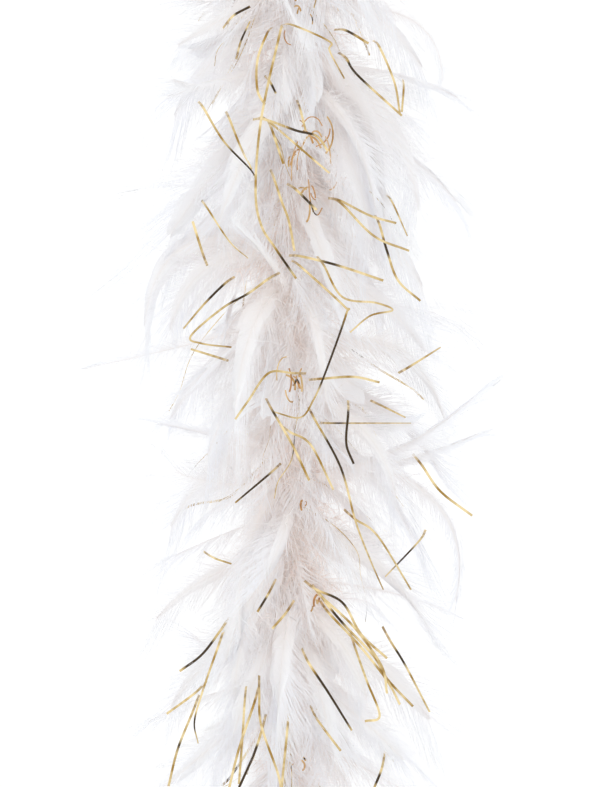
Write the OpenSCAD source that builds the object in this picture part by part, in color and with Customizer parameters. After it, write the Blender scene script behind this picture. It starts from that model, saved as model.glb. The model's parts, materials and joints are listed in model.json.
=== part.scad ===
// Feather boa draped over a neck: an arch of cord with two runs hanging from it.
// The origin is the underside of the arch, where it rests. +Z is up and the arch lies in the XZ plane.

/* [Drape] */
// Whole length of the cord, end to end
boa_l = 1830; // [1700:10:2000]
// Radius of the arch that the cord makes over the neck
arch_r = 160; // [150:5:200]
// Bend at a joint, in degrees, that the tapered ends of the down leave room for
most_bend = 60; // [30:5:60]

/* [Cord] */
// Diameter of the two-ply cord
cord_d = 4; // [3:0.5:5]
// Diameter of the thread that binds the quills to the cord
thread_d = 0.9; // [0.6:0.1:1]
// Diameter of the knot at each end of the cord
knot_d = 11; // [9:1:14]
// Diameter of the hanging loop at each end, across its outside
loop_d = 26; // [20:1:32]
// Diameter of the cord of the hanging loop
loop_cord_d = 2.4; // [2:0.2:3]

/* [Down] */
// Diameter of the short down packed round the cord
down_d = 40; // [34:1:44]

/* [Plumes] */
// Length of the shortest plume, from the cord to its tip
plume_min = 84; // [70:1:90]
// Length of the longest plume
plume_max = 122; // [100:1:124]
// Width of the widest plume
plume_w = 20; // [12:1:22]
// Thickness of a plume's vane
plume_t = 0.8; // [0.6:0.1:1.2]
// Plumes round the cord at one place
plumes_round = 5; // [3:1:6]
// Angle of a plume below square to the cord
droop = 40; // [30:1:45]

/* [Tinsel] */
// Width of a strand of metallised film
tinsel_w = 1.2; // [0.8:0.1:2]
// Thickness of a strand as a solid
tinsel_t = 0.3; // [0.2:0.05:0.5]
// Length of the longest strand
tinsel_max = 118; // [90:1:120]
// Strands round the cord at one place
tinsel_round = 3; // [2:1:4]

/* [Hidden] */
SIDES = [["left", -1], ["right", 1]];
SECTIONS = [1:4];
PIECES = ["cord", "binding", "down", "plumes", "tinsel"];

$fn = 48;
section_count = 4;
run_l = (boa_l - PI * arch_r) / 2;
section_l = run_l / section_count;
arch_z = down_d / 2 - arch_r;

rows = 8; // rows of plumes in a section
row_l = section_l / rows;
arch_rows = 12; // rows of plumes in each half of the arch
row_a = 90 / arch_rows;

cord_r = cord_d / 2;
cup_r = cord_r + 1; // hollow in the top of a section's cord, clear of the cord above it
thread_r = thread_d / 2;
thread_at = cord_r + thread_r + 0.05; // radius of the middle of the binding thread
bore_r = thread_at + thread_r + 0.15; // hole in the down, round the bound cord
root_r = (cord_r + plume_t) / cos(droop); // along a plume or a strand, where it leaves the cord
quill_w = 1.2;
bare_part = 0.26; // share of a plume that is bare quill, inside the down
golden = 137.508; // shared among the pieces of a row, it is the turn from one row to the next
knot_r = knot_d / 2;
knot_at = knot_r + 2; // middle of the knot below the last section, where the cord ends
whip_turns = 4;
loop_r = (loop_d - loop_cord_d) / 2;
loop_gap = 0.5; // between the knot and its loop
loop_pivot = knot_at + knot_r + loop_gap + loop_cord_d / 2; // top of the loop's cord

// A number from lo to hi that is spread evenly over the values of n
function spread(n, lo, hi) = lo + (hi - lo) * ((n * 0.618034) % 1);
// How far a solid of radius r stays from a joint, so that it clears its neighbour when bent
function joint_gap(r) = r * tan(most_bend / 2) + 0.6;

// Places its children on the arch, at an angle from its top; local -Z runs along the cord
module on_arch(side, a)
    translate([side * arch_r * sin(a), 0, arch_z + arch_r * cos(a)])
        rotate([0, side * (a - 90), 0]) children();

// Places its children on a run, at a distance below the top of section k
module on_run(side, k, down = 0)
    translate([side * arch_r, 0, arch_z - (k - 1) * section_l - down]) children();

// One feather lying along +X: bare quill, then a leaf-shaped vane
module plume(l, w) {
    vane_at = l * bare_part;
    edge = [for (t = [0.12, 0.42, 0.76]) [vane_at + (l - vane_at) * t, w / 2 * sin(180 * pow(t, 0.75))]];
    upper = concat([[root_r, quill_w / 2], [vane_at, quill_w / 2]], edge);
    lower = [for (i = [len(upper) - 1:-1:0]) [upper[i][0], -upper[i][1]]];
    linear_extrude(plume_t, center = true) polygon(concat(upper, [[l, 0]], lower));
}

// One strand of film lying along +X, with two kinks
module strand(l, kink) {
    path = [[root_r, 0], [l * 0.45, kink], [l * 0.76, -kink / 2], [l, kink]];
    upper = [for (p = path) p + [0, tinsel_w / 2]];
    lower = [for (i = [len(path) - 1:-1:0]) path[i] - [0, tinsel_w / 2]];
    linear_extrude(tinsel_t, center = true) polygon(concat(upper, lower));
}

// Droop in the arch, least at its top; n counts rows from there
function arch_droop(n) = droop * (0.45 + 0.55 * n / arch_rows);

// A row of plumes round the cord, all drooping by the same angle
module plume_row(n, tilt = droop) {
    for (i = [0:plumes_round - 1])
        rotate([0, tilt, (n * golden + i * 360) / plumes_round])
            plume(spread(n * plumes_round + i, plume_min, plume_max), spread(n + 3 * i, plume_w * 0.7, plume_w));
}

// A row of strands, between two rows of plumes
module strand_row(n, tilt = droop) {
    for (i = [0:tinsel_round - 1])
        rotate([0, tilt, 40 + (n * golden + i * 360) / tinsel_round])
            strand(spread(n * tinsel_round + i, tinsel_max * 0.65, tinsel_max), spread(n + i, -3, 3));
}

// One turn of binding thread round the cord
module thread_turn() rotate_extrude() translate([thread_at, 0]) circle(thread_r);

module neck_cord() color("ivory") translate([0, 0, arch_z]) rotate([90, 0, 0])
    rotate_extrude(angle = 180) translate([arch_r, 0]) circle(cord_r);

module neck_binding() color("white")
    for (s = SIDES, n = [0:arch_rows - 1], q = [0.25, 0.75]) on_arch(s[1], row_a * (n + q)) thread_turn();

// Bent sleeve that stops short of the joint at each end of the arch
module neck_down() color("snow") {
    gap_a = asin(joint_gap(down_d / 2) / arch_r);
    difference() {
        translate([0, 0, arch_z]) rotate([90, 0, 0]) rotate([0, 0, gap_a])
            rotate_extrude(angle = 180 - 2 * gap_a) translate([arch_r, 0]) circle(down_d / 2);
        translate([0, 0, arch_z]) rotate([90, 0, 0])
            rotate_extrude(angle = 180) translate([arch_r, 0]) circle(bore_r);
    }
}

module neck_plumes() color("white")
    for (s = SIDES, n = [0:arch_rows - 1])
        on_arch(s[1], row_a * (n + 0.5)) plume_row(n + 40, arch_droop(n + 0.5));

module neck_tinsel() color("gold")
    for (s = SIDES, n = [1:arch_rows - 1])
        on_arch(s[1], row_a * n) strand_row(n + 60, arch_droop(n));

// Cord of a section, hollowed at its top to turn about the end of the cord above it
module run_cord(side, k) color("ivory") on_run(side, k) {
    cord_l = section_l + (k == section_count ? knot_at : 0);
    difference() {
        translate([0, 0, -cord_l]) cylinder(h = cord_l, r = cord_r);
        sphere(cup_r);
    }
}

module run_binding(side, k) color("white")
    for (n = [0:rows - 1], q = [0.25, 0.75]) on_run(side, k, row_l * (n + q)) thread_turn();

// Down of a section: a sleeve whose ends taper, so that two sections bend without meeting
module run_down(side, k) color("snow") on_run(side, k) {
    r = down_d / 2;
    rotate_extrude() polygon([
        [bore_r, -joint_gap(bore_r)], [r, -joint_gap(r)],
        [r, joint_gap(r) - section_l], [bore_r, joint_gap(bore_r) - section_l]
    ]);
}

module run_plumes(side, k) color("white")
    for (n = [0:rows - 1]) on_run(side, k, row_l * (n + 0.5)) plume_row(n + rows * k + (side > 0 ? 5 : 0));

module run_tinsel(side, k) color("gold")
    for (n = [1:rows - 1]) on_run(side, k, row_l * n) strand_row(n + rows * k + (side > 0 ? 9 : 0));

// Turns of thread that close the binding, on the last of the cord above its knot
module whipping(side) color("white")
    for (n = [0:whip_turns - 1]) on_run(side, section_count, section_l - n * thread_d * 1.1 + 1.2) thread_turn();

// Knot that ends the cord, hollow from its middle up to take the cord's end
module knot(side) color("ivory") on_run(side, section_count, section_l + knot_at) difference() {
    sphere(knot_r);
    cylinder(h = knot_d, r = cord_r + 0.05);
}

// Hanging loop below the knot; it swings about the top of its own cord
module loop(side) color("ivory")
    on_run(side, section_count, section_l + loop_pivot + loop_r) rotate([90, 0, 0])
        rotate_extrude() translate([loop_r, 0]) circle(loop_cord_d / 2);

neck_cord();
neck_binding();
neck_down();
neck_plumes();
neck_tinsel();
for (s = SIDES, k = SECTIONS) {
    run_cord(s[1], k);
    run_binding(s[1], k);
    run_down(s[1], k);
    run_plumes(s[1], k);
    run_tinsel(s[1], k);
}
for (s = SIDES) {
    whipping(s[1]);
    knot(s[1]);
    loop(s[1]);
}
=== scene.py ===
import json
import math
import bpy
import numpy as np
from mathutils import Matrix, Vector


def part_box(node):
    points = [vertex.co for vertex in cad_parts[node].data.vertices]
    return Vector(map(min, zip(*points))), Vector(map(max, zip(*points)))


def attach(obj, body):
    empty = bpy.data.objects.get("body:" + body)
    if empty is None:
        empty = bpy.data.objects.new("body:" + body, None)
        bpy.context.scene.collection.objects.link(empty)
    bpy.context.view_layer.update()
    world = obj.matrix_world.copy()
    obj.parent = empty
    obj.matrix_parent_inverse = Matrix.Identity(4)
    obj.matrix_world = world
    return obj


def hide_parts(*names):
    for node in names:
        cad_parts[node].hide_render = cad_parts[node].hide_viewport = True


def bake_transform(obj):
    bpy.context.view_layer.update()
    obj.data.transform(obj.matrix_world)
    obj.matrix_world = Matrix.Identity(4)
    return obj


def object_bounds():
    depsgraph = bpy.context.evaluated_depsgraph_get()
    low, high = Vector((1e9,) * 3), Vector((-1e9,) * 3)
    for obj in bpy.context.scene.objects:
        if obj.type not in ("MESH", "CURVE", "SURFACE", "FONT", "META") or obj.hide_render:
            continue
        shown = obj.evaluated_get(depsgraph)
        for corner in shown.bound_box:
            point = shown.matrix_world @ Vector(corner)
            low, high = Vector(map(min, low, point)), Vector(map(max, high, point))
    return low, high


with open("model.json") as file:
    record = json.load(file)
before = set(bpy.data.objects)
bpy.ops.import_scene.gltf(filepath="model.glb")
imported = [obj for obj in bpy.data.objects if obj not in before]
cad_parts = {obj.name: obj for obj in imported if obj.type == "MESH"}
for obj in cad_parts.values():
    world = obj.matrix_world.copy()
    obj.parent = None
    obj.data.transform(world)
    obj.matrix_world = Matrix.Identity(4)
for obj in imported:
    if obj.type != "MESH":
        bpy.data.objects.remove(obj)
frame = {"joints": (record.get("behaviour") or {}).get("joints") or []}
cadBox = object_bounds()

# where the cord runs, worked out from the joints
jointAt = {j["name"]: np.array(j["pos_m"], float) for j in frame["joints"]}
archRadius = jointAt["right_bend_1"][0]
archZ = jointAt["right_bend_1"][2]
sectionLength = archZ - jointAt["right_bend_2"][2]
sectionCount = 4
archHalf = archRadius * math.pi / 2  # cord from the top of the arch to either end
runEnd = archHalf + sectionCount * sectionLength
sides = {"left": -1, "right": 1}
downhill = np.array([0.0, 0.0, -1.0])
across = np.array([0.0, 1.0, 0.0])
goldenTurn = math.pi * (3 - math.sqrt(5))
seeds = {"plumes": 100, "down": 200, "tinsel": 300, "strand": 700, "snarl": 800, "plume": 900}
print("frame loaded, section", round(sectionLength, 4), "m")

viewLook = {
    "middle": (-archRadius + 0.004, 0.0, -0.440),  # on the left run, where its second and third sections meet
    "height": 0.425,  # how much of the run is in view
    "lens": 120.0,
    "sensor": 36.0,  # fits the longer side of the picture
    "farthest": 50.0,
}
viewDistance = viewLook["height"] * viewLook["lens"] / viewLook["sensor"]


def addCamera(look):
    data = bpy.data.cameras.new("camera")
    data.lens = look["lens"]
    data.sensor_width = look["sensor"]
    data.clip_end = look["farthest"]
    cam = bpy.data.objects.new("camera", data)
    x, y, z = look["middle"]
    cam.location = (x, y - viewDistance, z)
    cam.rotation_euler = (math.radians(90), 0.0, 0.0)
    bpy.context.scene.collection.objects.link(cam)
    bpy.context.scene.camera = cam


# A place in the stretch that the camera sees: mm to the right of the cord, mm above the middle, mm in front
def inView(right, up, front):
    nearer = 1 - front / 1000 / viewDistance
    x, y, z = viewLook["middle"]
    return np.array([x + (right / 1000 - archRadius - x) * nearer, y - front / 1000, z + up / 1000 * nearer])


lightLook = {
    "world": 1.08,
    "worldColor": (0.982, 0.989, 0.998, 1.0),
    "keyPower": 2.0,
    "keySize": 1.8,
    "keyAt": (-1.1, -1.8, 1.1),
    "bounces": 12,
}


def addStudio(look):
    scene = bpy.context.scene
    world = bpy.data.worlds.new("studio")
    world.use_nodes = True
    sky = world.node_tree.nodes["Background"]
    sky.inputs["Color"].default_value = look["worldColor"]
    sky.inputs["Strength"].default_value = look["world"]
    scene.world = world
    scene.view_settings.view_transform = "Standard"
    scene.cycles.max_bounces = look["bounces"]
    scene.cycles.diffuse_bounces = look["bounces"]
    data = bpy.data.lights.new("softbox", "AREA")
    data.energy = look["keyPower"]
    data.size = look["keySize"]
    lamp = bpy.data.objects.new("softbox", data)
    lamp.location = look["keyAt"]
    x, y, z = np.array(viewLook["middle"]) - np.array(look["keyAt"])
    lamp.rotation_euler = (math.atan2(math.hypot(x, y), -z), 0.0, math.atan2(y, x) - math.pi / 2)
    scene.collection.objects.link(lamp)


floorLook = {"size": 3.6, "drop": 0.10, "color": (0.93, 0.93, 0.93, 1.0), "roughness": 0.9}


def addFloor(look):
    half = look["size"] / 2
    z = cadBox[0][2] - look["drop"]
    mesh = bpy.data.meshes.new("floor")
    corners = [(-half, -half, z), (half, -half, z), (half, half, z), (-half, half, z)]
    mesh.from_pydata(corners, [], [(0, 1, 2, 3)])
    floor = bpy.data.objects.new("floor", mesh)
    bpy.context.scene.collection.objects.link(floor)
    paint = bpy.data.materials.new("floorPaint")
    paint.use_nodes = True
    shader = paint.node_tree.nodes["Principled BSDF"]
    shader.inputs["Base Color"].default_value = look["color"]
    shader.inputs["Roughness"].default_value = look["roughness"]
    mesh.materials.append(paint)


addCamera(viewLook)
addStudio(lightLook)
addFloor(floorLook)
print("camera, light and floor are in")


def newGroup(name, inputs):
    tree = bpy.data.node_groups.new(name, "ShaderNodeTree")
    for label, kind, value in inputs:
        socket = tree.interface.new_socket(label, in_out="INPUT", socket_type="NodeSocket" + kind)
        socket.default_value = value
    for label, kind in (("Color", "Color"), ("Roughness", "Float"), ("Height", "Float")):
        tree.interface.new_socket(label, in_out="OUTPUT", socket_type="NodeSocket" + kind)
    return tree, tree.nodes.new("NodeGroupInput"), tree.nodes.new("NodeGroupOutput")


def addNode(tree, kind, **settings):
    node = tree.nodes.new("ShaderNode" + kind)
    for key, value in settings.items():
        setattr(node, key, value)
    return node


def feed(tree, socket, value):
    if hasattr(value, "links"):
        tree.links.new(value, socket)
    else:
        socket.default_value = value


def mixColors(tree, factor, a, b):
    node = addNode(tree, "Mix", data_type="RGBA")
    feed(tree, node.inputs[0], factor)
    feed(tree, node.inputs[6], a)
    feed(tree, node.inputs[7], b)
    return node.outputs[2]


def mathNode(tree, operation, a, b=0.0, clamp=False):
    node = addNode(tree, "Math", operation=operation, use_clamp=clamp)
    feed(tree, node.inputs[0], a)
    feed(tree, node.inputs[1], b)
    return node.outputs[0]


def noiseNode(tree, scale, detail, place):
    node = addNode(tree, "TexNoise")
    feed(tree, node.inputs["Scale"], scale)
    node.inputs["Detail"].default_value = detail
    tree.links.new(place, node.inputs["Vector"])
    return node.outputs["Fac"]


def readAttribute(tree, name):
    return addNode(tree, "Attribute", attribute_name=name).outputs["Fac"]


# Noise along the barbs of a feather or the length of a strand
def streakNode(tree, scale, detail):
    node = addNode(tree, "TexNoise", noise_dimensions="1D")
    node.inputs["Scale"].default_value = scale
    node.inputs["Detail"].default_value = detail
    tree.links.new(readAttribute(tree, "barb"), node.inputs["W"])
    return node.outputs["Fac"]


featherLook = {
    "patchScale": 55.0,
    "patchDetail": 4.0,
    "streakScale": 0.35,  # along the barbs
    "streakDetail": 4.0,
    "ownShade": 0.35,  # how much one feather differs from the next
    "quillFade": 5.0,
    "quillWarmth": 0.4,
    "ridge": 0.5,
    "leastRoughness": 0.5,
    "dullPatches": 0.25,
}


# Colour and barb relief of a feather: warm at its quill, with painted warm shade towards its root, cool and
# pale over the vane
def makeFeatherGroup(look):
    tree, given, out = newGroup(
        "featherTint",
        [
            ("Vane", "Color", (0.98, 0.98, 0.99, 1)),
            # quill colour, also used for the painted warm shade towards the root
            ("Quill", "Color", (0.9, 0.86, 0.8, 1)),
            ("Shade", "Color", (0.92, 0.92, 0.95, 1)),
            ("Mottle", "Float", 0.5),
            # strength of the quill tint and of the painted root shade
            ("Warmth", "Float", 0.5),
            ("Fade", "Float", 2.5),
        ],
    )
    link = tree.links.new
    place = addNode(tree, "NewGeometry").outputs["Position"]
    patches = noiseNode(tree, look["patchScale"], look["patchDetail"], place)
    streak = streakNode(tree, look["streakScale"], look["streakDetail"])
    patches = mathNode(tree, "MULTIPLY", mathNode(tree, "ADD", patches, streak), 0.5)
    patchy = mathNode(tree, "MULTIPLY", patches, given.outputs["Mottle"])
    ownShade = mathNode(tree, "MULTIPLY", readAttribute(tree, "own"), look["ownShade"])
    patchy = mathNode(tree, "ADD", patchy, ownShade)
    body = mixColors(tree, patchy, given.outputs["Vane"], given.outputs["Shade"])
    inward = mathNode(tree, "SUBTRACT", 1.0, readAttribute(tree, "outward"))
    nearQuill = mathNode(tree, "POWER", inward, look["quillFade"])
    # painted shade: warmer and darker towards the root, where the plumes crowd in the core; Fade sets how
    # fast it fades out
    toRoot = mathNode(tree, "SUBTRACT", 1.0, readAttribute(tree, "upward"))
    paintedRootShade = mathNode(tree, "POWER", toRoot, given.outputs["Fade"])
    quillTintAndRootShade = mathNode(tree, "ADD", mathNode(tree, "MULTIPLY", nearQuill, look["quillWarmth"]), paintedRootShade)
    quillTintAndRootShade = mathNode(tree, "MULTIPLY", quillTintAndRootShade, given.outputs["Warmth"], clamp=True)
    link(mixColors(tree, quillTintAndRootShade, body, given.outputs["Quill"]), out.inputs["Color"])
    ridges = mathNode(tree, "SINE", mathNode(tree, "MULTIPLY", readAttribute(tree, "barb"), 2 * math.pi))
    link(mathNode(tree, "MULTIPLY", ridges, look["ridge"]), out.inputs["Height"])
    dull = mathNode(tree, "MULTIPLY", patches, look["dullPatches"])
    link(mathNode(tree, "ADD", dull, look["leastRoughness"]), out.inputs["Roughness"])
    return tree


yarnLook = {
    "fibreDetail": 3.0,
    "softScale": 120.0,
    "softDetail": 2.0,
    "leastRoughness": 0.7,
    "dullPatches": 0.2,
}


# Spun cotton: its colour with painted shadow dappled over the fibres, its fuzz and relief
def makeYarnGroup(look):
    tree, given, out = newGroup(
        "spunYarn",
        [
            ("Yarn", "Color", (0.86, 0.81, 0.72, 1)),
            ("Shadow", "Color", (0.6, 0.53, 0.42, 1)),
            ("Fibres", "Float", 900.0),
        ],
    )
    link = tree.links.new
    place = addNode(tree, "NewGeometry").outputs["Position"]
    fine = noiseNode(tree, given.outputs["Fibres"], look["fibreDetail"], place)
    soft = noiseNode(tree, look["softScale"], look["softDetail"], place)
    # painted shadow: fine fibre noise darkens the yarn towards the Shadow colour
    fibreShadow = mathNode(tree, "MULTIPLY", fine, soft)
    link(mixColors(tree, fibreShadow, given.outputs["Yarn"], given.outputs["Shadow"]), out.inputs["Color"])
    dull = mathNode(tree, "MULTIPLY", soft, look["dullPatches"])
    link(mathNode(tree, "ADD", dull, look["leastRoughness"]), out.inputs["Roughness"])
    link(fine, out.inputs["Height"])
    return tree


featherGroup = makeFeatherGroup(featherLook)
yarnGroup = makeYarnGroup(yarnLook)


def groupMaterial(name, group, values, bumpDepth, constants):
    mat = bpy.data.materials.new(name)
    mat.use_nodes = True
    tree = mat.node_tree
    shader = tree.nodes["Principled BSDF"]
    use = tree.nodes.new("ShaderNodeGroup")
    use.node_tree = group
    for key, value in values.items():
        use.inputs[key].default_value = value
    bump = addNode(tree, "Bump")
    bump.inputs["Distance"].default_value = bumpDepth
    tree.links.new(use.outputs["Color"], shader.inputs["Base Color"])
    tree.links.new(use.outputs["Roughness"], shader.inputs["Roughness"])
    tree.links.new(use.outputs["Height"], bump.inputs["Height"])
    tree.links.new(bump.outputs["Normal"], shader.inputs["Normal"])
    for key, value in constants.items():
        shader.inputs[key].default_value = value
    return mat


goldLook = {
    # painted glints along the strands
    "pale": (0.87, 0.71, 0.40, 1),
    "gold": (0.40, 0.25, 0.070, 1),
    "dark": (0.075, 0.053, 0.033, 1),  # painted dark reflection, where a strand turns and mirrors something dark
    "copper": (0.55, 0.29, 0.12, 1),  # strands wound into the middle
    "streakScale": 0.8,
    "streakDetail": 3.0,
    "goldShare": 0.33,  # the higher, the more of a strand is gold and the less has pale painted glints
    "contrast": 3.4,
    "roughness": 0.2,
    "dullStreaks": 0.3,
}


def makeFilm(look):
    mat = bpy.data.materials.new("goldFilm")
    mat.use_nodes = True
    tree = mat.node_tree
    shader = tree.nodes["Principled BSDF"]
    streak = streakNode(tree, look["streakScale"], look["streakDetail"])
    level = mathNode(tree, "SUBTRACT", streak, look["goldShare"])
    level = mathNode(tree, "MULTIPLY", level, look["contrast"], clamp=True)
    # painted glints: streaks along each strand turn from gold to pale
    tint = mixColors(tree, level, look["gold"], look["pale"])
    tint = mixColors(tree, readAttribute(tree, "upward"), look["copper"], tint)
    # painted dark reflection on the marked stretches of a strand
    tint = mixColors(tree, readAttribute(tree, "own"), tint, look["dark"])
    tree.links.new(tint, shader.inputs["Base Color"])
    dull = mathNode(tree, "MULTIPLY", streak, look["dullStreaks"])
    tree.links.new(mathNode(tree, "ADD", dull, look["roughness"]), shader.inputs["Roughness"])
    shader.inputs["Metallic"].default_value = 1.0
    return mat


plumeMaterial = groupMaterial(
    "whitePlume",
    featherGroup,
    {
        "Vane": (0.962, 0.967, 0.971, 1),
        # quill colour, also used for the painted warm shade towards the root
        "Quill": (0.90, 0.835, 0.795, 1),
        "Shade": (0.895, 0.912, 0.955, 1),
        "Mottle": 0.6,
        # strength of the quill tint and of the painted root shade
        "Warmth": 0.9,
        "Fade": 2.0,
    },
    0.00004,
    {
        "Sheen Weight": 0.2,
        "Sheen Roughness": 0.5,
        "Specular IOR Level": 0.2,
        "Emission Color": (1.0, 1.0, 1.0, 1.0),
        "Emission Strength": 0.035,  # painted glow, standing in for light that reaches it through the plumes behind
    },
)
downMaterial = groupMaterial(
    "warmDown",
    featherGroup,
    {
        "Vane": (0.93, 0.87, 0.84, 1),
        # quill colour, also used for the painted warm shade towards the root
        "Quill": (0.84, 0.70, 0.62, 1),
        "Shade": (0.90, 0.815, 0.775, 1),
        "Mottle": 0.8,
        # strength of the quill tint and of the painted root shade
        "Warmth": 0.8,
        "Fade": 2.5,
    },
    0.00004,
    {
        "Sheen Weight": 0.3,
        "Sheen Roughness": 0.6,
        "Specular IOR Level": 0.2,
        # painted warm glow
        "Emission Color": (1.0, 0.9, 0.84, 1.0),
        "Emission Strength": 0.05,
    },
)
cordMaterial = groupMaterial(
    "cottonCord", yarnGroup, {"Fibres": 900.0}, 0.0003, {"Sheen Weight": 0.2, "Specular IOR Level": 0.2}
)
threadMaterial = groupMaterial(
    "bindingThread",
    yarnGroup,
    {"Yarn": (0.9, 0.87, 0.82, 1), "Shadow": (0.72, 0.66, 0.58, 1), "Fibres": 1800.0},
    0.0001,
    {"Sheen Weight": 0.1, "Specular IOR Level": 0.4},
)
filmMaterial = makeFilm(goldLook)
print("materials are made")


def unit(v):
    return v / np.maximum(np.linalg.norm(v, axis=-1, keepdims=True), 1e-9)


# Point on the cord, the way it runs and the way out of the arch, at a distance from the top of the arch
def cordAt(side, distance):
    if distance < archHalf:
        a = distance / archRadius
        out = np.array([side * math.sin(a), 0.0, math.cos(a)])
        on = np.array([side * math.cos(a), 0.0, -math.sin(a)])
        return np.array([0, 0, archZ]) + archRadius * out, on, out
    point = np.array([side * archRadius, 0.0, archZ - (distance - archHalf)])
    return point, downhill, np.array([float(side), 0.0, 0.0])


def aroundCord(side, distance, turn):
    point, on, out = cordAt(side, distance)
    return point, on, math.cos(turn) * out + math.sin(turn) * across


# how far the fluff may stand out of the solid boa, and over what depth its tips are pressed back
roomLook = {"share": 0.03, "extra": 0.009, "soft": 0.02}
boxLow, boxHigh = (np.array(c) for c in cadBox)
room = roomLook["share"] * (boxHigh - boxLow) + roomLook["extra"]


# Presses the last tips that reach too far gently back in
def keepInside(points, soft):
    low, high = boxLow - room + soft, boxHigh + room - soft
    over, under = np.maximum(points - high, 0), np.maximum(low - points, 0)
    return points - over + soft * np.tanh(over / soft) + under - soft * np.tanh(under / soft)


class Cloth:
    # Gathers many small sheets into one mesh
    def __init__(self):
        self.points, self.quads, self.marks, self.count = [], [], [], 0

    def add(self, points, quads, outward, upward, barb, own):
        points = points.reshape(-1, 3)
        n = len(points)
        self.points.append(points)
        self.quads.append(quads + self.count)
        self.marks.append(np.stack([np.broadcast_to(m, n) for m in (outward, upward, barb, own)]))
        self.count += n

    def build(self, name, material):
        points = keepInside(np.concatenate(self.points), roomLook["soft"]).astype(np.float32)
        quads = np.concatenate(self.quads).astype(np.int32)
        marks = np.concatenate(self.marks, axis=1).astype(np.float32)
        mesh = bpy.data.meshes.new(name)
        mesh.vertices.add(len(points))
        mesh.vertices.foreach_set("co", points.ravel())
        mesh.loops.add(quads.size)
        mesh.loops.foreach_set("vertex_index", quads.ravel())
        mesh.polygons.add(len(quads))
        mesh.polygons.foreach_set("loop_start", np.arange(0, quads.size, 4, dtype=np.int32))
        mesh.update(calc_edges=True)
        mesh.polygons.foreach_set("use_smooth", np.ones(len(quads), bool))
        for mark, label in zip(marks, ("outward", "upward", "barb", "own")):
            mesh.attributes.new(label, "FLOAT", "POINT").data.foreach_set("value", mark)
        mesh.materials.append(material)
        mesh.validate()
        piece = bpy.data.objects.new(name, mesh)
        bpy.context.scene.collection.objects.link(piece)
        return piece


def gridQuads(rows, columns):
    a = np.arange(rows - 1)[:, None] * columns + np.arange(columns - 1)[None, :]
    return np.stack([a, a + 1, a + columns + 1, a + columns], axis=-1).reshape(-1, 4)


# Ribbons are chains of pairs of points
def ribbonQuads(ribbons, pairs):
    n = np.arange(ribbons * pairs * 2).reshape(ribbons, pairs, 2)
    return np.stack([n[:, :-1, 0], n[:, 1:, 0], n[:, 1:, 1], n[:, :-1, 1]], -1).reshape(-1, 4)


# Smooth made-up wind, the same every run, that bends whatever stands in it
def breeze(points, wavelength):
    k = 2 * math.pi / wavelength
    x, y, z = (points * k).transpose(-1, *range(points.ndim - 1))
    return np.stack(
        [
            np.sin(y * 1.1 + 0.7 * np.sin(z * 0.9 + 1.3)) + 0.5 * np.sin(z * 2.3 + x),
            np.sin(z * 1.2 + 0.8 * np.sin(x * 1.1 + 2.1)) + 0.5 * np.sin(x * 2.1 + y),
            np.sin(x * 0.9 + 0.9 * np.sin(y * 1.3 + 0.4)) + 0.5 * np.sin(y * 2.4 + z),
        ],
        axis=-1,
    )


# Rachis that sets out from the cord, bends over under its own weight, curls to one side and lifts or
# drops its tip
def fallingCurve(start, heading, length, sag, curl, tipLift, steps=16):
    points, way = [start], heading
    aside = unit(np.cross(heading, downhill) + 1e-6)
    for i in range(steps):
        fall = downhill - way * way.dot(downhill)
        late = 3 * (i / steps) ** 2
        way = unit(way + (sag * fall + curl * aside - tipLift * late * fall) / steps)
        points.append(points[-1] + way * length / steps)
    return np.array(points)


# Curve of a plume set by hand
def bowedCurve(root, bow, tip, steps=16):
    t = np.linspace(0, 1, steps + 1)[:, None]
    return (1 - t) ** 2 * root + 2 * t * (1 - t) * bow + t * t * tip


# Smooth curve through every one of a few knots
def throughKnots(knots, steps=10):
    knots = np.asarray(knots, float)
    t = np.linspace(0, len(knots) - 1, steps * (len(knots) - 1) + 1)
    padded = np.concatenate([[2 * knots[0] - knots[1]], knots, [2 * knots[-1] - knots[-2]]])
    low = np.minimum(t.astype(int), len(knots) - 2)
    f = (t - low)[:, None]
    p0, p1, p2, p3 = (padded[low + k] for k in range(4))
    square = (2 * p0 - 5 * p1 + 4 * p2 - p3) * f**2
    cube = (3 * p1 - p0 - 3 * p2 + p3) * f**3
    return 0.5 * (2 * p1 + (p2 - p0) * f + square + cube)


def along(curve, t):
    place = np.clip(t, 0, 1) * (len(curve) - 1)
    low = np.minimum(place.astype(int), len(curve) - 2)
    part = (place - low)[..., None]
    return curve[low] * (1 - part) + curve[low + 1] * part


# Round strand; a plain ring of points at each step
def addTube(cloth, curve, radii, sideCount=5, own=0.5, upward=0.0, outward=0.0):
    way = unit(np.gradient(curve, axis=0))
    helper = across if abs(way[0].dot(across)) < 0.9 else np.array([1.0, 0, 0])
    a = unit(np.cross(way, helper))
    b = np.cross(way, a)
    turn = np.arange(sideCount)[None, :, None] * 2 * math.pi / sideCount
    ring = np.cos(turn) * a[:, None] + np.sin(turn) * b[:, None]
    points = curve[:, None] + ring * np.broadcast_to(radii, len(curve))[:, None, None]
    quads = gridQuads(len(curve), sideCount + 1)
    quads = quads // (sideCount + 1) * sideCount + quads % (sideCount + 1) % sideCount
    cloth.add(points, quads, outward, upward, 0.0, own)


# the outline of every vane and the way its barbs lie, as shares of its length and half width
vaneShape = {
    "end": 0.99,
    "widestAt": 0.45,
    "reach": 0.62,
    "shoulder": 2.4,
    "roundness": 0.55,
    "unevenness": ((0.07, 11), (0.05, 27)),
    "closing": 0.72,  # how much the barbs lie closer to the rachis at its tip
    "shortest": 0.32,
    "waves": 6,
    "wind": 0.035,
    "knitFade": 0.8,  # how much less the barbs are knit together at the tip
}


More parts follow.
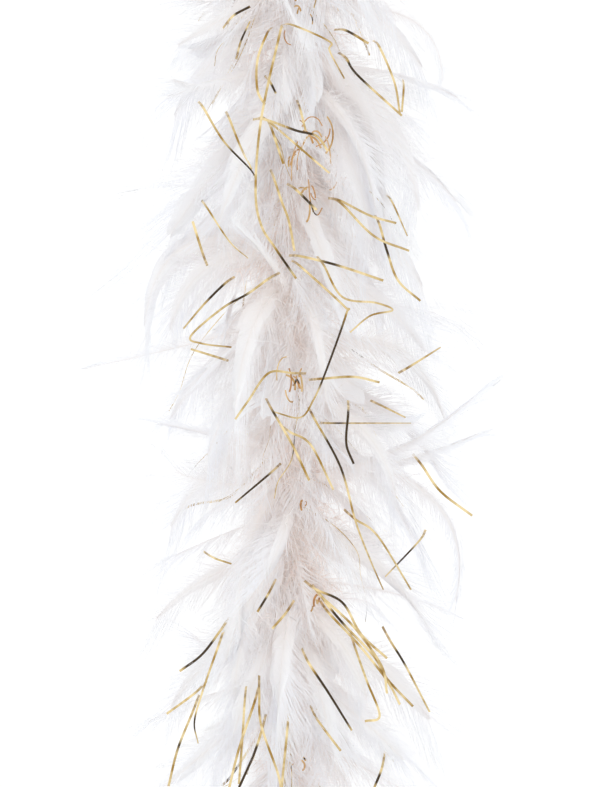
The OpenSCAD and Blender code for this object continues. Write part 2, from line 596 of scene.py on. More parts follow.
class Vane:
    # One side of a feather; at() gives the place of any point on any of its barbs
    def __init__(self, rachis, side, halfWidth, length, look, rng):
        self.rachis, self.side, self.halfWidth, self.look = rachis, side, halfWidth, look
        self.length = length * (1 - look["vaneFrom"])
        self.phase = rng.uniform(0, 2 * math.pi, 4)
        self.wave = rng.normal(0, look["wave"])
        self.cup = look["cup"] * rng.uniform(-0.3, 1.8)

    def at(self, line, v, tilt, lift):
        look, half, shape = self.look, self.halfWidth, vaneShape
        line = line + 0 * v
        place = look["vaneFrom"] + (shape["end"] - look["vaneFrom"]) * line
        base, d, w, f = (along(x, place) for x in self.rachis)
        outline = 1 - np.abs((line - shape["widestAt"]) / shape["reach"]) ** shape["shoulder"]
        reach = half * np.maximum(outline, 0.0) ** shape["roundness"]
        uneven = [deep * np.sin(n * line + p) for (deep, n), p in zip(shape["unevenness"], self.phase)]
        reach = reach * (1 + uneven[0] + uneven[1])
        open0 = math.radians(look["open"]) * (1 - shape["closing"] * line)
        bend = tilt - look["sweep"] * open0
        bend = np.where(np.abs(bend) < 0.02, 0.02, bend)
        spread = (np.cos(open0) - np.cos(open0 + bend)) / bend
        size = np.maximum(reach / np.maximum(spread, 0.2), shape["shortest"] * half) / bend
        out = size * (np.cos(open0) - np.cos(open0 + bend * v))
        on = size * (np.sin(open0 + bend * v) - np.sin(open0))
        rise = -self.cup * (out / half) ** 2 + lift * v**2
        rise = half * (rise + self.wave * np.sin(shape["waves"] * line + self.phase[2]) * v**1.5)
        place = base + on[..., None] * d + (self.side * out)[..., None] * w + rise[..., None] * f
        place = place + breeze(place, shape["wind"]) * (look["ruffle"] * half * v**2)[..., None]
        place[..., 2] -= look["droop"] * half * v**2
        return place, d, f


# How far out from the rachis the barbs are knit together
def knitTo(joined, line):
    return joined * (1 - vaneShape["knitFade"] * line**4)


# One half of a feather's vane: clumps of joined barbs, which turn fine and free towards the edge
def addVane(cloth, vane, look, rng, own):
    cuts = np.sort(rng.uniform(0.05, 0.97, rng.integers(*look["cuts"])))
    cuts = np.concatenate([[0.0], cuts, [1.0]])
    barbCount, joined, from0 = vane.length / look["barbSpacing"], look["joined"], look["vaneFrom"]
    for low, high in zip(cuts, cuts[1:]):
        if high - low < 0.02:
            continue
        tilt, lift = rng.normal(0, look["stray"]), rng.normal(0, look["lift"])
        if joined:
            rows = max(int(vane.length * (high - low) / look["row"]), 2) + 1
            knit = np.linspace(0, joined, look["columns"] + 1)
            line, v = np.meshgrid(np.linspace(low, high, rows), knit, indexing="ij")
            v = knitTo(v, line)
            points, _, _ = vane.at(line, v, tilt, lift)
            upward, barb = (from0 + (1 - from0) * line).ravel(), (line * barbCount).ravel()
            cloth.add(points, gridQuads(*line.shape), v.ravel(), upward, barb, own)
        n, steps = max(int(barbCount * (high - low)), 2), look["barbSteps"]
        free = np.linspace(0, 1, steps + 1)
        line = low + (high - low) * (np.arange(n) + rng.uniform(0.2, 0.8, n))[:, None] / n + 0 * free
        start = np.maximum(knitTo(joined, line[:, :1]) - look["overlap"], 0.0)
        tip = rng.uniform(*look["fringe"], (n, 1))
        v = start + (tip - start) * free
        points, d, f = vane.at(line, v, tilt, lift)
        points = points + rng.normal(0, look["fray"] * vane.halfWidth, (n, 1, 3)) * free[:, None] ** 1.7
        crimp = (look["crimp"] * vane.halfWidth * free)[:, None]
        points = points + breeze(points, look["crimpWave"]) * crimp
        taper = look["barbWidth"] / 2 * (1 - look["fineTips"] * free**1.5)
        half = (d + look["stand"] * f) * taper[:, None]
        strip = np.stack([points - half, points + half], axis=2)
        v, upward, barb = (np.repeat(x, 2) for x in (v, from0 + (1 - from0) * line, line * barbCount))
        cloth.add(strip, ribbonQuads(n, steps + 1), v, upward, barb, own)


fluffLook = {
    "lean": (30, 80),  # degrees off the rachis
    "curl": 0.45,
    "fall": 0.35,
    "wind": 0.02,
    "sway": 0.10,
    "steps": 4,
}


# Loose, curling barbs, as at the foot of a feather
def addFluff(cloth, curve, way, wide, face, look, rng, own):
    count = look["fluff"]
    u = rng.uniform(*look["fluffAt"], count)
    turn = rng.uniform(0, 2 * math.pi, count)
    base, d, w, f = (along(x, u) for x in (curve, way, wide, face))
    out = np.cos(turn)[:, None] * w + 0.6 * np.sin(turn)[:, None] * f
    lean = np.radians(rng.uniform(*fluffLook["lean"], count))[:, None]
    heading = out * np.sin(lean) + d * np.cos(lean)
    reach = rng.uniform(*look["fluffReach"], count)
    steps = fluffLook["steps"]
    t = np.linspace(0, 1, steps + 1)
    curl = rng.normal(0, fluffLook["curl"], (count, 1, 3))
    bent = curl * (t**2)[:, None] + downhill * (fluffLook["fall"] * t**2)[:, None]
    points = base[:, None] + reach[:, None, None] * (heading[:, None] * t[:, None] + bent)
    sway = (fluffLook["sway"] * reach[:, None] * t**2)[..., None]
    points = points + breeze(points, fluffLook["wind"]) * sway
    way = unit(np.gradient(points, axis=1))
    flat = unit(np.cross(way, f[:, None] + 0.3 * w[:, None]))
    half = flat * (look["fluffWidth"] / 2 * (1 - look["fineTips"] * t))[:, None]
    strip = np.stack([points - half, points + half], axis=2)
    outward, upward = np.tile(np.repeat(t, 2), count), np.repeat(u, (steps + 1) * 2)
    cloth.add(strip, ribbonQuads(count, steps + 1), outward, upward, 0.0, own)


# One feather on a given rachis, its upper side turned to facing
def addFeather(cloth, curve, facing, halfWidth, look, rng, roll=None):
    length = np.linalg.norm(np.diff(curve, axis=0), axis=1).sum()
    way = unit(np.gradient(curve, axis=0))
    wide, last = np.empty_like(way), np.cross(way[0], facing)
    for i, d in enumerate(way):
        last = unit(last - d * last.dot(d))
        wide[i] = last
    face = np.cross(wide, way)
    roll = rng.normal(0, look["roll"]) if roll is None else roll
    turn = roll + rng.normal(0, look["twist"]) * np.linspace(0, 1, len(curve))[:, None]
    wide, face = wide * np.cos(turn) + face * np.sin(turn), face * np.cos(turn) - wide * np.sin(turn)
    own = rng.random()
    quill = look["quill"] * np.linspace(1, look["quillTip"], len(curve))
    addTube(cloth, curve, quill, 4, own, 0.5)
    if halfWidth:
        for side in (-1, 1):
            vane = Vane((curve, way, wide, face), side, halfWidth * rng.uniform(0.8, 1.1), length, look, rng)
            addVane(cloth, vane, look, rng, own)
    if look["fluff"]:
        addFluff(cloth, curve, way, wide, face, look, rng, own)


plumeLook = {
    "perMetre": 640,
    "sag": (0.2, 1.5),
    "curl": 0.7,
    "tipLift": 0.7,
    "quill": 0.00045,
    "quillTip": 0.15,
    "vaneFrom": 0.20,
    "row": 0.0032,
    "columns": 3,
    "joined": 0.50,  # share of a barb that is knit to its neighbours
    "barbSpacing": 0.00060,
    "barbWidth": 0.00055,
    "barbSteps": 3,
    "stand": 0.4,  # how far a free barb is turned on edge
    "overlap": 0.08,  # how far a free barb starts inside the knit part
    "fineTips": 0.85,
    "fringe": (0.88, 1.30),
    "cuts": (0, 4),
    "open": 58,
    "sweep": 0.55,
    "stray": 0.12,
    "cup": 0.32,
    "lift": 0.12,
    "wave": 0.12,
    "ruffle": 0.08,
    "droop": 0.10,
    "fray": 0.05,
    "crimp": 0.02,
    "crimpWave": 0.011,
    "roll": 0.55,
    "twist": 0.8,
    "fluff": 24,
    "fluffAt": (0.06, 0.36),
    "fluffReach": (0.010, 0.024),
    "fluffWidth": 0.0005,
}

# downy all the way along, with no joined vane
marabouLook = dict(
    plumeLook, vaneFrom=0.06, joined=0.0, barbSpacing=0.00085, barbWidth=0.00045,
    fringe=(0.7, 1.25), cuts=(0, 1), open=66, sweep=0.5, fray=0.20, crimp=0.07, droop=0.25,
    ruffle=0.18, quill=0.0003, fluff=14, fluffAt=(0.02, 0.5),
)

# share of each kind, its length and half width in metres and its lean in degrees below square to the cord
plumeKinds = [
    (0.24, plumeLook, (0.044, 0.074), (0.0095, 0.0160), (5, 80)),
    (0.08, plumeLook, (0.060, 0.092), (0.0055, 0.0095), (-30, 70)),
    (0.42, marabouLook, (0.045, 0.080), (0.0110, 0.0200), (-25, 75)),
    (0.26, marabouLook, (0.072, 0.100), (0.0130, 0.0220), (-20, 55)),
]

# for plumes listed one by one: barbs that are knit near the quill only, with a long soft edge
petalLook = dict(
    plumeLook, vaneFrom=0.12, joined=0.34, barbSpacing=0.00050, barbWidth=0.00045, barbSteps=4,
    fringe=(0.85, 1.45), cuts=(3, 8), stray=0.16, fray=0.10, crimp=0.05, ruffle=0.16, fluff=30,
    fluffAt=(0.04, 0.8),
)
wispLook = dict(marabouLook, fringe=(0.5, 1.3), barbSpacing=0.0006, fluff=0)
softLook = dict(
    marabouLook, joined=0.20, fringe=(0.45, 1.15), barbSpacing=0.00045, barbWidth=0.0005, fray=0.12,
    fluff=40, fluffReach=(0.012, 0.028),
)
styles = {"petal": petalLook, "soft": softLook, "wisp": wispLook}

# Plumes listed one by one along the stretch in view: a style, where the root is above the middle, the bow
# and the tip as right of the cord, above the middle and in front of the cord, and the half width, all in mm,
# then the roll.
plumesByHand = [
    ("soft", 222, (-30, 208, 20), (-62, 188, 10), 12, 0.3),
    ("soft", 176, (-35, 172, 25), (-68, 160, 15), 10, 0.5),
    ("petal", 158, (-34, 136, 34), (-66, 86, 20), 18, 0.2),
    ("petal", 168, (-20, 150, 40), (-40, 92, 34), 13, -0.2),
    ("soft", 190, (44, 176, 36), (50, 92, 26), 30, -0.1),
    ("soft", 170, (34, 160, 40), (44, 104, 34), 14, 0.3),
    ("petal", 176, (48, 182, 10), (89, 160, 0), 7, 0.9),
    ("wisp", 206, (82, 220, 10), (81, 168, 0), 4, 0.2),
    ("soft", 146, (60, 142, 5), (88, 104, 0), 14, 0.4),
    ("petal", 78, (-74, 104, 22), (-80, 36, 14), 14, -0.3),
    ("soft", 74, (-56, 84, 24), (-66, 34, 18), 18, -0.2),
    ("wisp", 42, (-60, 24, 18), (-114, 13, 10), 5, 0.2),
    ("soft", 50, (-8, 70, 42), (-26, 86, 46), 9, 0.0),
    ("petal", 62, (-26, 48, 36), (-31, -8, 38), 16, 0.1),
    ("soft", 60, (16, 40, 40), (18, -4, 42), 12, -0.3),
    ("soft", 22, (66, 44, 20), (82, -14, 6), 14, 0.2),
    ("soft", -34, (-40, -22, 22), (-73, -16, 10), 10, 0.8),
    ("petal", -44, (50, -44, 30), (98, -2, 16), 10, 0.4),
    ("petal", -46, (54, -42, 12), (100, -22, 2), 6, 1.0),
    ("soft", -30, (104, -40, 14), (88, -112, 4), 7, 0.2),
    ("soft", -46, (-34, -76, 36), (-28, -132, 34), 12, 0.1),
    ("soft", -92, (-36, -126, 38), (-30, -172, 36), 16, -0.2),
    ("soft", -88, (-44, -88, 20), (-74, -122, 12), 15, 0.3),
    ("petal", -106, (-6, -136, 46), (-8, -172, 44), 16, 0.0),
    ("petal", -84, (-26, -104, 40), (-36, -144, 34), 13, 0.1),
    ("petal", 108, (14, 92, 44), (22, 50, 40), 12, -0.2),
    ("soft", -58, (-2, -72, 46), (-15, -100, 42), 15, 0.4),
    ("soft", -112, (30, -128, 38), (40, -164, 34), 14, 0.1),
    ("petal", -126, (14, -150, 46), (20, -186, 42), 13, 0.3),
    ("petal", -120, (-20, -146, 44), (-32, -184, 38), 12, -0.3),
    ("wisp", -100, (60, -104, 12), (92, -122, 4), 3, 0.2),
    ("petal", -150, (30, -166, 44), (60, -198, 34), 10, 0.1),
    ("petal", -162, (-34, -180, 38), (-68, -212, 24), 10, 0.2),
    ("soft", 0, (46, -8, 34), (56, -56, 26), 15, 0.0),
    ("petal", 4, (-34, 8, 30), (-46, -34, 22), 11, 0.2),
    ("soft", 180, (62, 162, 20), (68, 98, 14), 24, 0.4),
    ("soft", 160, (36, 142, 34), (42, 82, 28), 24, 0.5),
    ("soft", 226, (44, 216, 12), (70, 176, 6), 20, 0.3),
    ("soft", 112, (46, 100, 14), (70, 58, 8), 20, 0.2),
    ("soft", 70, (46, 62, 18), (72, 22, 10), 20, 0.4),
    ("soft", 6, (52, 4, 12), (78, -40, 6), 18, 0.1),
    ("soft", -20, (44, -30, 22), (64, -78, 14), 20, 0.3),
    ("soft", -72, (46, -82, 18), (72, -124, 10), 20, 0.2),
    ("soft", -128, (48, -138, 16), (74, -176, 8), 18, 0.4),
    ("soft", 208, (-40, 196, 14), (-64, 150, 8), 18, -0.2),
    ("soft", 116, (-42, 108, 16), (-68, 62, 10), 17, -0.3),
    ("soft", 36, (-44, 26, 16), (-66, -14, 10), 16, -0.1),
    ("soft", -14, (-44, -30, 16), (-66, -72, 8), 16, -0.4),
    ("soft", -118, (-42, -130, 18), (-66, -170, 10), 18, -0.2),
]


# Section of the run that something in view grows from, mm above the middle
def sectionInView(up):
    return int((archZ - inView(0, up, 0)[2]) // sectionLength + 1)


def addPlumesByHand(cloth, section):
    for number, (style, up, bow, tip, half, roll) in enumerate(plumesByHand):
        if sectionInView(up) != section:
            continue
        rng = np.random.default_rng(seeds["plume"] + number)
        curve = bowedCurve(inView(0, up, 0), inView(*bow), inView(*tip))
        addFeather(cloth, curve, -across, half / 1000, styles[style], rng, roll)


# metres below the arch, on the left run: the front of this stretch is dressed with plumes and strands listed
# one by one
dressedByHand = (0.05, 0.55)


def isDressed(side, place):
    return side < 0 and dressedByHand[0] < place - archHalf < dressedByHand[1]


spreadLook = {
    "turnShake": 0.3,
    "root": 0.002,
    "flattening": 0.14,  # how much shorter they are towards the front and the back
    "frontFrom": -0.3,
    "frontLength": 0.66,
    "frontLean": 35,
    "frontMarabou": 0.55,
    "outerLength": 0.9,
    "topOfArch": 0.6,
    "topSag": 0.3,
    "topLean": 0.5,
    "endLength": 0.52,  # of the last plumes, which make room for the knot
    "endGain": 9,
    "archShare": 0.8,  # the arch crowds them on its inside
}


# Feathers spread along a stretch of cord, turned by the golden angle so that none lines up
def scatterPlumes(cloth, kinds, perMetre, side, start, end, seed):
    rng, spread = np.random.default_rng(seed), spreadLook
    count = int((end - start) * perMetre)
    shares = np.cumsum([kind[0] for kind in kinds])
    for i in range(count):
        place = start + (end - start) * (i + rng.random()) / count
        turn = i * goldenTurn + rng.normal(0, spread["turnShake"])
        point, on, radial = aroundCord(side, place, turn)
        _, look, lengths, halves, leans = kinds[min(np.searchsorted(shares, rng.random()), len(kinds) - 1)]
        lean, length = math.radians(rng.uniform(*leans)), rng.uniform(*lengths)
        sag = rng.uniform(*look["sag"])
        length *= 1 - spread["flattening"] * abs(radial[1])
        if isDressed(side, place):
            if radial[1] < spread["frontFrom"]:
                length *= spread["frontLength"]
                lean = max(lean, math.radians(spread["frontLean"]))
                look = marabouLook if rng.random() < spread["frontMarabou"] else look
            elif radial[0] < 0:
                length *= spread["outerLength"]
        if place < archHalf * spread["topOfArch"]:
            sag, lean = sag * spread["topSag"], lean * spread["topLean"]
        length *= min(1.0, spread["endLength"] + (runEnd - place) * spread["endGain"])
        heading = unit(math.cos(lean) * radial + math.sin(lean) * on)
        facing = math.sin(lean) * radial - math.cos(lean) * on
        curl, tipLift = rng.normal(0, look["curl"]), rng.normal(0, look["tipLift"])
        curve = fallingCurve(point + radial * spread["root"], heading, length, sag, curl, tipLift)
        addFeather(cloth, curve, facing, rng.uniform(*halves), look, rng)


downLook = dict(
    marabouLook, perMetre=560, sag=(0.2, 1.2), curl=0.9, fluff=40, fluffAt=(0.05, 1.0),
    fluffReach=(0.006, 0.015), fluffWidth=0.0006,
)
downKinds = [(1.0, downLook, (0.022, 0.040), (0, 0), (-20, 60))]

filmLook = {
    "perMetre": 270,
    "length": (0.060, 0.112),
    "width": 0.0013,
    "widths": (0.6, 1.1),  # shares of the width
    "turnShake": 0.4,
    "lean": (0, 70),
    "sag": (0, 1.6),
    "curl": 0.9,
    "tipLift": 0.5,
    "root": 0.003,
    "knotShake": 0.0012,
    "turning": 1.2,
    # strands with a painted dark reflection: their share, where along them it lies, and its half length
    "darkShare": 0.35,
    "darkAt": (0.3, 0.9),
    "darkHalf": 0.09,
    "backFrom": 0.7,  # where the dressed stretch counts as its back, with strands of its own
    "leftOut": 0.8,
    "frontWidth": 0.5,
    "endLength": 0.6,
    "endGain": 8,
    "clear": 7,  # mm further out than the routes say, so that the fluff doesn't bury them
    "tuck": 0.007,
    "tuckDepth": 0.022,
    "rootAbove": 8,
}


# A strand of film: a ribbon that turns as it goes. The part between the two shares in dark gets a painted
# dark reflection, counted from the end of the knots that lead the strand out of the boa.
def addStrand(cloth, knots, rng, width, dark=None, lead=0, bright=1.0, turning=0.5):
    curve = throughKnots(knots)
    way = unit(np.gradient(curve, axis=0))
    side = unit(np.cross(way, across) + 1e-6)
    spin = rng.uniform(-0.5, 0.5) + np.linspace(0, rng.normal(0, turning), len(curve))
    flat = np.cos(spin)[:, None] * side + np.sin(spin)[:, None] * np.cross(way, side)
    half = flat * width / 2
    share = (np.linspace(0, len(knots) - 1, len(curve)) - lead) / (len(knots) - 1 - lead)
    darkReflection = np.zeros(len(curve))
    if dark:
        darkReflection = np.clip(np.minimum(share - dark[0], dark[1] - share) / 0.05 + 0.5, 0, 1)
    length = np.concatenate([[0], np.cumsum(np.linalg.norm(np.diff(curve, axis=0), axis=1))])
    mark = np.repeat(length * 100 + rng.uniform(0, 50), 2)
    strip = np.stack([curve - half, curve + half], axis=1)
    cloth.add(strip, gridQuads(len(curve), 2), 0, bright, mark, np.repeat(darkReflection, 2))


def scatterStrands(cloth, look, side, start, end, seed):
    rng = np.random.default_rng(seed)
    for i in range(int((end - start) * look["perMetre"])):
        place = start + (end - start) * rng.random()
        turn = i * goldenTurn + rng.normal(0, look["turnShake"])
        point, on, radial = aroundCord(side, place, turn)
        width = look["width"] * rng.uniform(*look["widths"])
        if isDressed(side, place) and radial[1] < look["backFrom"]:
            if rng.random() < look["leftOut"]:
                continue
            width *= look["frontWidth"]
        lean = math.radians(rng.uniform(*look["lean"]))
        heading = unit(math.cos(lean) * radial + math.sin(lean) * on)
        length = rng.uniform(*look["length"])
        length *= min(1.0, look["endLength"] + (runEnd - place) * look["endGain"])
        sag = rng.uniform(*look["sag"])
        curl, tipLift = rng.normal(0, look["curl"]), rng.normal(0, look["tipLift"])
        rough = fallingCurve(point + radial * look["root"], heading, length, sag, curl, tipLift)
        knots = rough[[0, 4, 8, 11, 14, 16]] + rng.normal(0, look["knotShake"], (6, 3))
        # some strands get a painted dark reflection
        middle, half = rng.uniform(*look["darkAt"]), look["darkHalf"]
        dark = (middle - half, middle + half) if rng.random() < look["darkShare"] else None
        addStrand(cloth, knots, rng, width, dark, turning=look["turning"])


# Strands listed one by one on the front of the stretch in view: knots in mm to the right of the cord and
# above the middle, how far in front of the cord, and between which shares of the length it has a painted
# dark reflection, if any
strandsByHand = [
    ([(-7, 194), (-17, 148), (-20, 110), (-17, 91), (-9, 78), (2, 62)], 56, (0.83, 0.95)),
    ([(-14, 194), (-19, 180), (-19, 164), (-15, 156)], 54),
    ([(0, 199), (20, 190), (20, 185), (28, 170)], 54),
    ([(29, 196), (41, 189)], 50, (0.0, 0.4)),
    ([(47, 187), (55, 168), (58, 151)], 44),
    ([(29, 181), (35, 172), (59, 150)], 48, (0.15, 0.65)),
    ([(60, 165), (59, 152)], 42),
    ([(-48, 154), (-37, 136), (-22, 120), (-20, 113)], 50, (0.4, 0.75)),
    ([(-34, 148), (-28, 133), (-22, 121)], 48),
    ([(-15, 148), (2, 142), (13, 139), (19, 131)], 56, (0.25, 0.6)),
    ([(-13, 147), (14, 124), (20, 119)], 55),
    ([(-11, 142), (-5, 124)], 54),
    ([(-32, 204), (-23, 209)], 48, (0.1, 1.0)),
    ([(-28, 190), (-23, 201)], 47, (0.0, 0.6)),
    ([(-12, 168), (-9, 162)], 55, (0.2, 0.9)),
    ([(4, 154), (7, 142)], 50),
    ([(-10, 116), (-6, 104), (-2, 93), (1, 77)], 55),
    ([(2, 110), (13, 99)], 52, (0.3, 0.8)),
    ([(26, 104), (42, 96), (56, 92)], 48),
    ([(27, 102), (44, 85), (63, 77)], 49),
    ([(54, 103), (62, 85)], 40),
    ([(47, 91), (51, 77), (57, 61), (69, 50)], 44, (0.2, 0.4)),
    ([(5, 74), (25, 69), (49, 61)], 52, (0.3, 0.5)),
    ([(5, 68), (28, 47), (29, 43), (18, 12), (11, -4), (4, -13), (-10, -10)], 56, (0.36, 0.58)),
    ([(17, 69), (27, 52), (45, 49), (54, 45), (42, 42), (31, 33)], 53),
    ([(-37, 59), (-48, 48), (-59, 35)], 42, (0.0, 0.4)),
    ([(-13, 62), (-24, 54), (-38, 46), (-55, 31), (-49, 27), (-33, 25)], 48, (0.2, 0.35)),
    ([(-42, 20), (-55, 24)], 40),
    ([(-46, 100), (-34, 82), (-24, 73)], 47),
    ([(-49, 77), (-54, 93)], 40),
    ([(0, 11), (-13, 11), (-24, -4), (-31, -14)], 54),
    ([(16, 8), (33, 9), (47, 6)], 48),
    ([(64, 15), (80, 25)], 30),
    ([(-11, -9), (0, -28), (9, -47)], 56, (0.0, 0.12)),
    ([(-1, -21), (10, -28), (22, -52)], 55),
    ([(12, -14), (26, -40), (34, -69), (42, -90), (49, -106)], 57, (0.1, 0.3)),
    ([(34, -68), (46, -77), (64, -106)], 50),
    ([(30, -11), (29, -27), (33, -38)], 44, (-0.1, 1.1)),
    ([(-12, -43), (-31, -59)], 50, (0.0, 0.9)),
    ([(70, -39), (80, -53), (97, -66)], 30),
    ([(49, -7), (61, -13)], 40),
    ([(22, -16), (64, -16)], 42, (0.0, 0.2)),
    ([(-42, -89), (-33, -92)], 44),
    ([(13, -106), (27, -113), (37, -130), (51, -143)], 55, (0.15, 0.4)),
    ([(18, -113), (28, -125), (44, -142), (51, -154), (65, -169)], 56, (0.1, 0.25)),
    ([(20, -119), (36, -136), (51, -155), (58, -168)], 57),
    ([(16, -110), (33, -126), (48, -147), (51, -162)], 58),
    ([(53, -134), (61, -147), (74, -172)], 40, (0.2, 0.5)),
    ([(9, -146), (19, -161), (32, -182)], 56, (0.2, 0.95)),
    ([(-26, -168), (-27, -185), (-29, -211)], 55),
    ([(-21, -168), (-29, -192), (-35, -216)], 56),
    ([(-18, -162), (-17, -179), (-8, -205), (-6, -216)], 57),
    ([(-17, -183), (-21, -195), (-29, -213)], 58, (0.3, 1.1)),
    ([(-3, -183), (-6, -214)], 55),
    ([(-40, -136), (-48, -159), (-53, -177), (-51, -189)], 46, (0.6, 0.8)),
    ([(-53, -162), (-68, -173)], 40),
    ([(-54, -172), (-62, -192), (-67, -212)], 42, (0.4, 0.5)),
    ([(-39, -128), (-49, -141), (-61, -150)], 40, (0.2, 0.9)),
    ([(34, -138), (40, -155), (47, -174), (39, -177)], 44),
    ([(48, -203), (44, -213)], 40, (0.2, 0.8)),
    ([(-13, -108), (-19, -118)], 52, (0.2, 0.8)),
    ([(-4, -119), (-11, -127)], 52),
    ([(14, -177), (26, -193)], 52),
    ([(68, -80), (50, -99)], 46, (0.2, 0.7)),
]

# Snarls of fine strands that show in the middle: how far above the middle, how far right and the reach,
# all in mm, and how many
snarlsByHand = [
    (206, 4, 10, 5),
    (126, 8, 26, 16),
    (106, 8, 13, 6),
    (8, -1, 14, 9),
    (-60, 6, 5, 3),
    (-113, 12, 7, 4),
    (-204, 2, 9, 4),
]
snarlLook = {
    "turn": (0.7, 2.2),
    "wide": (0.15, 0.45),
    "tall": (0.3, 0.8),
    "scatter": (0.2, 0.4),  # sideways and up, as shares of the reach
    "front": (36, 52),
    "ripple": 3,
    "width": (0.4, 0.9),
    "bright": (0, 0.7),
    # snarl strands with a painted dark reflection: their share, and where along them it lies
    "darkShare": 0.2,
    "dark": (0.3, 0.7),
}


# One arc of a snarl
def addSnarlStrand(cloth, look, rng, up, aside, reach):
    arc = rng.uniform(0, 2 * math.pi) + np.linspace(0, rng.uniform(*look["turn"]), 5)
    wide, tall = rng.uniform(*look["wide"]) * reach, rng.uniform(*look["tall"]) * reach
    right = rng.normal(aside, look["scatter"][0] * reach)
    high = up + rng.normal(0, look["scatter"][1] * reach)
    front = rng.uniform(*look["front"])
    rights, highs = right + wide * np.cos(arc), high + tall * np.sin(arc)
    fronts = front + look["ripple"] * np.sin(2 * arc)
    knots = [inView(*place) for place in zip(rights, highs, fronts)]
    # some snarl strands get a painted dark reflection
    dark = look["dark"] if rng.random() < look["darkShare"] else None
    width = filmLook["width"] * rng.uniform(*look["width"])
    addStrand(cloth, knots, rng, width, dark, bright=rng.uniform(*look["bright"]))


def addStrandsByHand(cloth, section, look):
    for number, (route, front, *dark) in enumerate(strandsByHand):
        rng = np.random.default_rng(seeds["strand"] + number)
        shown = [inView(x, up, front + look["clear"]) for x, up in route]
        if sectionInView(route[0][1] + look["rootAbove"]) != section:
            continue
        lead = shown[0] + unit(shown[0] - shown[1]) * look["tuck"] + across * look["tuckDepth"]
        addStrand(cloth, [lead] + shown, rng, look["width"], *dark, lead=1)
    for number, (up, aside, reach, count) in enumerate(snarlsByHand):
        rng = np.random.default_rng(seeds["snarl"] + number)
        if sectionInView(up) != section:
            continue
        for _ in range(count):
            addSnarlStrand(cloth, snarlLook, rng, up, aside, reach)


cordLook = {
    "ply": 0.0011,
    "pitch": 0.011,
    "thread": 0.00035,
    "threadPitch": 0.0052,
    "threadAt": 1.9,  # out from the middle of the cord, in plies
    "nesting": 0.85,  # how far the plies lie from the middle of a twist, in plies
    "intoKnot": 0.004,
}


def addHelix(cloth, side, start, end, radius, pitch, thick, sideCount, phase=0.0):
    s = np.linspace(start, end, int((end - start) / pitch * 14) + 2)
    frames = [cordAt(side, x) for x in s]
    point, out = np.array([f[0] for f in frames]), np.array([f[2] for f in frames])
    turn = (2 * math.pi * s / pitch + phase)[:, None]
    path = point + radius * (np.cos(turn) * out + np.sin(turn) * across)
    addTube(cloth, path, thick, sideCount)


def addCord(cloth, side, start, end):
    ply, pitch = cordLook["ply"], cordLook["pitch"]
    if end == runEnd:
        end += cordLook["intoKnot"]
    for phase in (0, math.pi):
        addHelix(cloth, side, start, end, ply * cordLook["nesting"], pitch, ply, 8, phase)


def addBinding(cloth, side, start, end):
    radius = cordLook["ply"] * cordLook["threadAt"]
    addHelix(cloth, side, start, end, radius, cordLook["threadPitch"], cordLook["thread"], 6)


# Two plies that twist round a closed or open path
def addTwist(cloth, path, ply, pitch):
    way = unit(np.gradient(path, axis=0))
    side = unit(np.cross(way, across + [0.1, 0, 0.2]))
    length = np.concatenate([[0], np.cumsum(np.linalg.norm(np.diff(path, axis=0), axis=1))])
    turns = max(round(length[-1] / pitch), 1)
    for phase in (0, math.pi):
        turn = (2 * math.pi * turns * length / length[-1] + phase)[:, None]
        around = np.cos(turn) * side + np.sin(turn) * np.cross(way, side)
        addTube(cloth, path + around * ply * cordLook["nesting"], ply, 8)


endLook = {
    "knotSpread": 0.00125,  # of the overhand knot's three lobes
    "knotPly": 0.00092,
    "knotPitch": 0.7,  # of the cord's
    "bightRadius": 0.0023,
    "bightStretch": 1.2,
    "bightPly": 0.00045,
    "bightPitch": 0.004,
    "loopPly": 0.00065,
    "loopPitch": 0.0062,
    "whippingTurns": 7,
}


# Overhand knot, and the small bight of cord below it that the hanging loop swings in
def addKnot(cloth, side, look):
    low, high = (np.array(c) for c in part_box(f"{side}_knot"))
    middle = (low + high) / 2
    t = np.linspace(0, 2 * math.pi, 121)[:, None]
    right, back, up = np.sin(t) + 2 * np.sin(2 * t), -1.6 * np.sin(3 * t), np.cos(t) - 2 * np.cos(2 * t)
    lobes = middle + np.concatenate([right, back, up], axis=1) * look["knotSpread"]
    addTwist(cloth, lobes, look["knotPly"], cordLook["pitch"] * look["knotPitch"])
    pivot = jointAt[f"{side}_loop_swing"]
    a = np.linspace(-0.5 * math.pi, 1.5 * math.pi, 41)[:, None]
    ring = np.concatenate([0 * a, np.cos(a), np.sin(a)], axis=1) * look["bightRadius"]
    ring[:, 2] += np.maximum(ring[:, 2], 0) * look["bightStretch"]
    addTwist(cloth, pivot + ring, look["bightPly"], look["bightPitch"])


def addLoop(cloth, side, look):
    low, high = (np.array(c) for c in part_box(f"{side}_loop"))
    middle = (low + high) / 2
    radius = (high[2] - low[2]) / 2 - (high[1] - low[1]) / 2
    a = np.linspace(0.5 * math.pi, 2.5 * math.pi, 97)[:, None]
    ring = np.concatenate([np.cos(a), 0 * a, np.sin(a)], axis=1)
    addTwist(cloth, middle + ring * radius, look["loopPly"], look["loopPitch"])


def addWhipping(cloth, side, look):
    low, high = (np.array(c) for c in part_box(f"{side}_whipping"))
    radius = (high[0] - low[0]) / 2 - cordLook["thread"]
    t = np.linspace(0, 1, look["whippingTurns"] * 14)[:, None]
    turn = t * 2 * math.pi * look["whippingTurns"]
    right, back, _ = (low + high) / 2
    height = low[2] + cordLook["thread"] + (high[2] - low[2] - 2 * cordLook["thread"]) * t
    points = np.concatenate([right + radius * np.cos(turn), back + radius * np.sin(turn), height], axis=1)
    addTube(cloth, points, cordLook["thread"], 6)


def finishPiece(piece, node, body, nextBody=None):
    if nextBody:
        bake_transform(piece)
    else:
        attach(piece, body)
    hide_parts(node)


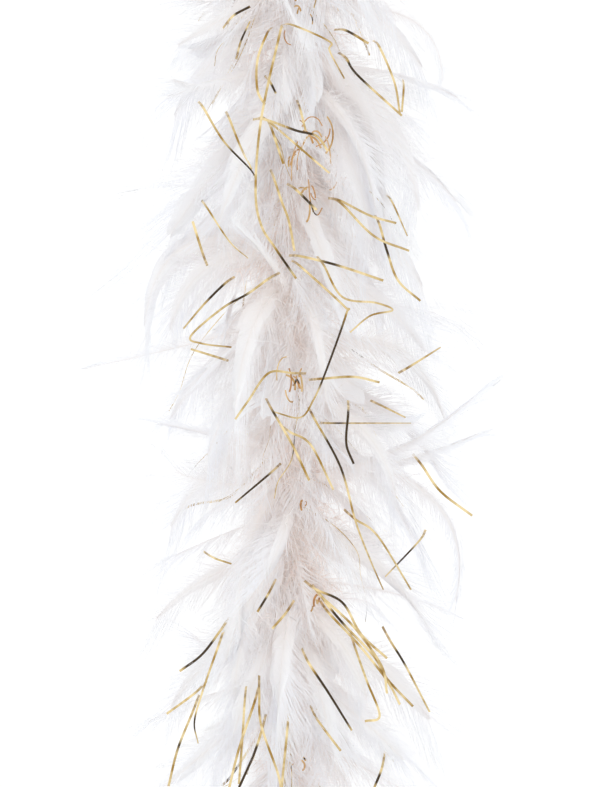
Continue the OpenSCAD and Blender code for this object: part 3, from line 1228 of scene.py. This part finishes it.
def makePlumes(cloth, side, start, end, number):
    perMetre = plumeLook["perMetre"] * (1 if start else spreadLook["archShare"])
    scatterPlumes(cloth, plumeKinds, perMetre, side, start, end, seeds["plumes"] + number)
    if side < 0:
        addPlumesByHand(cloth, number)


def makeDown(cloth, side, start, end, number):
    scatterPlumes(cloth, downKinds, downLook["perMetre"], side, start, end, seeds["down"] + number)


def makeTinsel(cloth, side, start, end, number):
    scatterStrands(cloth, filmLook, side, start, end, seeds["tinsel"] + number)
    if side < 0:
        addStrandsByHand(cloth, number, filmLook)


makers = {
    "plumes": (plumeMaterial, "plume", makePlumes),
    "down": (downMaterial, "down", makeDown),
    "tinsel": (filmMaterial, "tinsel", makeTinsel),
    "cord": (cordMaterial, "cord", lambda *stretch: addCord(*stretch[:4])),
    "binding": (threadMaterial, "thread", lambda *stretch: addBinding(*stretch[:4])),
}

for sideName, side in sides.items():
    for kind, (material, slotName, fill) in makers.items():
        for k in range(sectionCount + 1):
            cloth = Cloth()
            start = archHalf + (k - 1) * sectionLength if k else 0.0
            end = start + sectionLength if k else archHalf
            fill(cloth, side, start, end if k < sectionCount else runEnd, (10 if side > 0 else 0) + k)
            nextBody, jointName = None, None
            if k < sectionCount:
                nextBody, jointName = f"{sideName}_{k + 1}", f"{sideName}_bend_{k + 1}"
            if k:
                piece = cloth.build(f"{sideName}{kind.capitalize()}{k}", material)
                finishPiece(piece, f"{sideName}_{kind}_{k}", f"{sideName}_{k}", nextBody)
            else:
                piece = cloth.build(f"neck{kind.capitalize()}{sideName.capitalize()}", material)
                finishPiece(piece, f"neck_{kind}", "neck", nextBody)
        print(sideName, kind, "done")

endMakers = {
    "knot": (cordMaterial, "cord", addKnot, "4"),
    "loop": (cordMaterial, "cord", addLoop, "loop"),
    "whipping": (threadMaterial, "thread", addWhipping, "4"),
}
for sideName in sides:
    for kind, (material, slotName, fill, body) in endMakers.items():
        cloth = Cloth()
        fill(cloth, sideName, endLook)
        piece = cloth.build(f"{sideName}{kind.capitalize()}", material)
        finishPiece(piece, f"{sideName}_{kind}", f"{sideName}_{body}")
    print(sideName, "end done")
